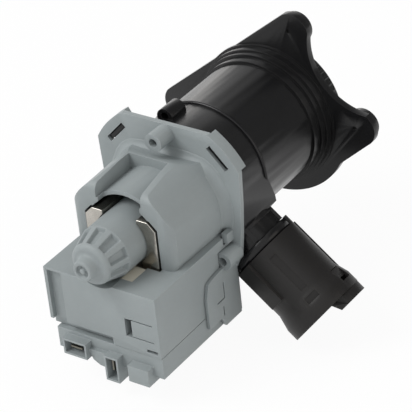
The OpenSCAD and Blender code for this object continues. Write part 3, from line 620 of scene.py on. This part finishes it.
def smoothstep(low, high, x):
    """0 below low, 1 above high, and the cubic 3t^2 - 2t^3 between them."""
    t = np.clip((x - low) / (high - low), 0, 1)
    return t * t * (3 - 2 * t)


def around_y(y, radius, angle):
    """Points at a distance from the pump axis and an angle from +Z, as rows of y by columns of angle."""
    y, radius, angle = np.broadcast_arrays(y, radius, angle)
    return np.stack([radius * np.sin(angle), y, radius * np.cos(angle)], axis=-1)


print("full turn of 8:", np.round(np.degrees(full_turn(8))))

# %% Nose
def nose_back(n, angle, rows=48):
    """Cone with pockets: radius = cone(y) - depth x along(y) x between(angle).

    along is a smooth step away from the collar and down again at the ring, and between is 1 in the middle
    of a pocket.
    """
    t = np.linspace(0, 1, rows)[:, None]
    y = n["collar"] + (n["ring"] - n["collar"]) * t
    cone = n["r_collar"] + (n["r_ring"] - n["r_collar"]) * t
    along = smoothstep(0.02, 0.1, t) * (1 - smoothstep(0.8, 1.0, t))
    between = smoothstep(-0.5, 0.1, np.cos(n["ribs"] * angle))
    return around_y(y, cone - n["depth"] * along * between, angle)


def nose_front(n, angle, roll_y=2.4, roll_r=3.2):
    """Turned profile: a quarter ellipse from the ring, then the spigot, its sunk ring and its pin."""
    ring, tip = n["ring"], n["tip"]
    roll = np.radians(np.linspace(8, 90, 10))
    dome = np.stack([ring - roll_y * np.sin(roll), n["r_ring"] - roll_r + roll_r * np.cos(roll)], axis=-1)
    spigot = [(ring - 2.6, 6.2), (ring - 3.2, 5.7), (ring - 4.0, 5.45), (tip + 0.9, 5.2), (tip + 0.25, 4.95),
              (tip, 4.5), (tip, 3.5), (tip + 0.2, 3.25), (tip + 1.5, 3.2)]
    pin = [(tip + 1.5, 1.5), (tip + 0.4, 1.4), (tip + 0.15, 1.2), (tip + 0.15, 0.01)]
    y, r = np.concatenate([dome, spigot, pin]).T[:, :, None]
    return around_y(y, r, angle)


angle = full_turn(400)
nose = np.concatenate([nose_back(NOSE, angle), nose_front(NOSE, angle)])
grid_piece("ribbed_nose", nose, "motor_housing", turn_over=True)

# %% [markdown]
# ## The hood's foot
#
# The hood meets the plate in a hollow corner about 4 mm wide. A bevel fails there, because the hood's
# wall is made of many narrow faces. So a hollow corner is carried along the hood's outline at the plate:
# the nearer of a circle and a flat crest, blended by a power mean, so the corner between them stays round.

# %% Foot fillet
def hood_foot(radius=30.0, crest=23.0, plate=-87.5, reach=4.2, side=113.0, count=160, steps=10,
              sunk=(0.6, 0.4)):
    """Closed sweep of a concave corner: rows along the outline, columns over the section.

    The outline's distance at an angle from +Z is (radius^-p + (crest / cos)^-p)^(-1/p). The section is a
    quarter circle hollowed out of a square, with its back sunk into the hood and the plate. It fades out
    over the last 0.12 radians at both ends.
    """
    p = 14.0
    angle = np.radians(np.linspace(-side, side, count))[:, None]
    crest_at = crest / np.maximum(np.cos(angle), 0.05)
    outline = (radius ** -p + crest_at ** -p) ** (-1 / p)
    turn = np.radians(np.linspace(0, 90, steps))
    out = np.concatenate([reach * (1 - np.sin(turn)), [-sunk[0], -sunk[0], reach * 0.98]])
    away = np.concatenate([reach * (1 - np.cos(turn)), [reach * 0.98, -sunk[1], -sunk[1]]])
    fade = np.clip((np.radians(side) - np.abs(angle)) / 0.12, 0.05, 1)
    return around_y(plate - away * fade, outline + out * fade, angle)


grid_piece("hood_foot", hood_foot(), "motor_housing")

# %% [markdown]
# ## The bead on the shoulder
#
# A rolled bead runs round the shoulder where the filter tube leaves the volute. A bevel would only round
# the shoulder's edge, and the bead stands proud of it. So it is a ring swept about the pump axis: a small
# circle carried round a big one.

# %% Shoulder bead
def ring(radius, y, thick, columns=16, rows=180):
    """Torus about Y, at a height y: point = R + r cos b out from the axis and y + r sin b along it."""
    section = full_turn(columns)
    return around_y(y + thick * np.sin(section), radius + thick * np.cos(section), full_turn(rows).T)


R_VOLUTE, Y_SHOULDER = 32.6, -56.0
bead = ring(R_VOLUTE - 0.1, Y_SHOULDER - 1.1, 1.0)
grid_piece("shoulder_bead", bead, "pump_housing", wrap_rows=True, turn_over=True)

# %% [markdown]
# ## The collar under the coupling's ears
#
# The coupling's sleeve starts a little way along the outlet neck. A low collar on the neck closes the ring
# between the two. A torus would be too round for it, so a profile of a few corners is turned about the
# outlet's slanted axis, as on a lathe.

# %% Neck collar
def turned(profile, axis, columns=96):
    """Lathe about a slanted axis, a row per (r, s): point = at + s along + r (cos b across + sin b side)."""
    r, s = np.array(profile).T[:, :, None, None]
    b = full_turn(columns)[:, :, None]
    return axis["at"] + s * axis["along"] + r * (np.cos(b) * axis["across"] + np.sin(b) * axis["side"])


collar = [(14.3, 43.6), (16.6, 43.6), (17.0, 44.0), (17.0, 47.8), (16.0, 48.2), (14.3, 48.2)]
grid_piece("neck_band", turned(collar, OUTLET), "pump_housing", wrap_rows=True)

# %% [markdown]
# ## Black lug faces in the slots, as painted shade
#
# The motor is held by lugs of the pump housing that reach through slots in its plate. A black patch in
# each slot is painted shade, standing for the nose of a lug. A box would look cut off, and a lug is
# moulded with round corners. So it is a flat cushion: a superellipse that rolls over at its rim.

# %% Lug patches of painted shade
HALF_WIDTH, HALF_HEIGHT, CORNER_RADIUS = 39.4, 38.4, 45.2
corner_ends = math.acos(HALF_WIDTH / CORNER_RADIUS), math.asin(HALF_HEIGHT / CORNER_RADIUS)
corner_mid = math.degrees(sum(corner_ends)) / 2


def lug_shade_patch(angle, at=39.0, half_w=1.15, half_l=6.4, front=-86.5, back=-84.9, q=0.25):
    """Cushion of painted shade in a slot: rows from the face's middle over the rim and down the side, columns
    round it.

    Round the outline, across = half_w x sign(cos u) x |cos u|^q and along is the same with half_l and sin.
    """
    u = full_turn(64)
    across = half_w * np.sign(np.cos(u)) * np.abs(np.cos(u)) ** q
    along = half_l * np.sign(np.sin(u)) * np.abs(np.sin(u)) ** q
    share = np.array([0.001, 0.5, 0.85, 0.95, 1.0, 1.0])[:, None]
    y = np.array([front, front, front, front + 0.1, front + 0.4, back])[:, None] + 0 * u
    out, sideways = at + share * across, share * along
    a = np.radians(angle)
    x, z = out * np.cos(a) - sideways * np.sin(a), out * np.sin(a) + sideways * np.cos(a)
    return np.stack([x, y, z], axis=-1)


# Each slot gets a black cushion as painted shade, standing for a lug's nose
for side, angle in {"right": corner_mid, "left": 180 - corner_mid}.items():
    grid_piece("lug_shade_patch_" + side, lug_shade_patch(angle), "pump_housing", turn_over=True)
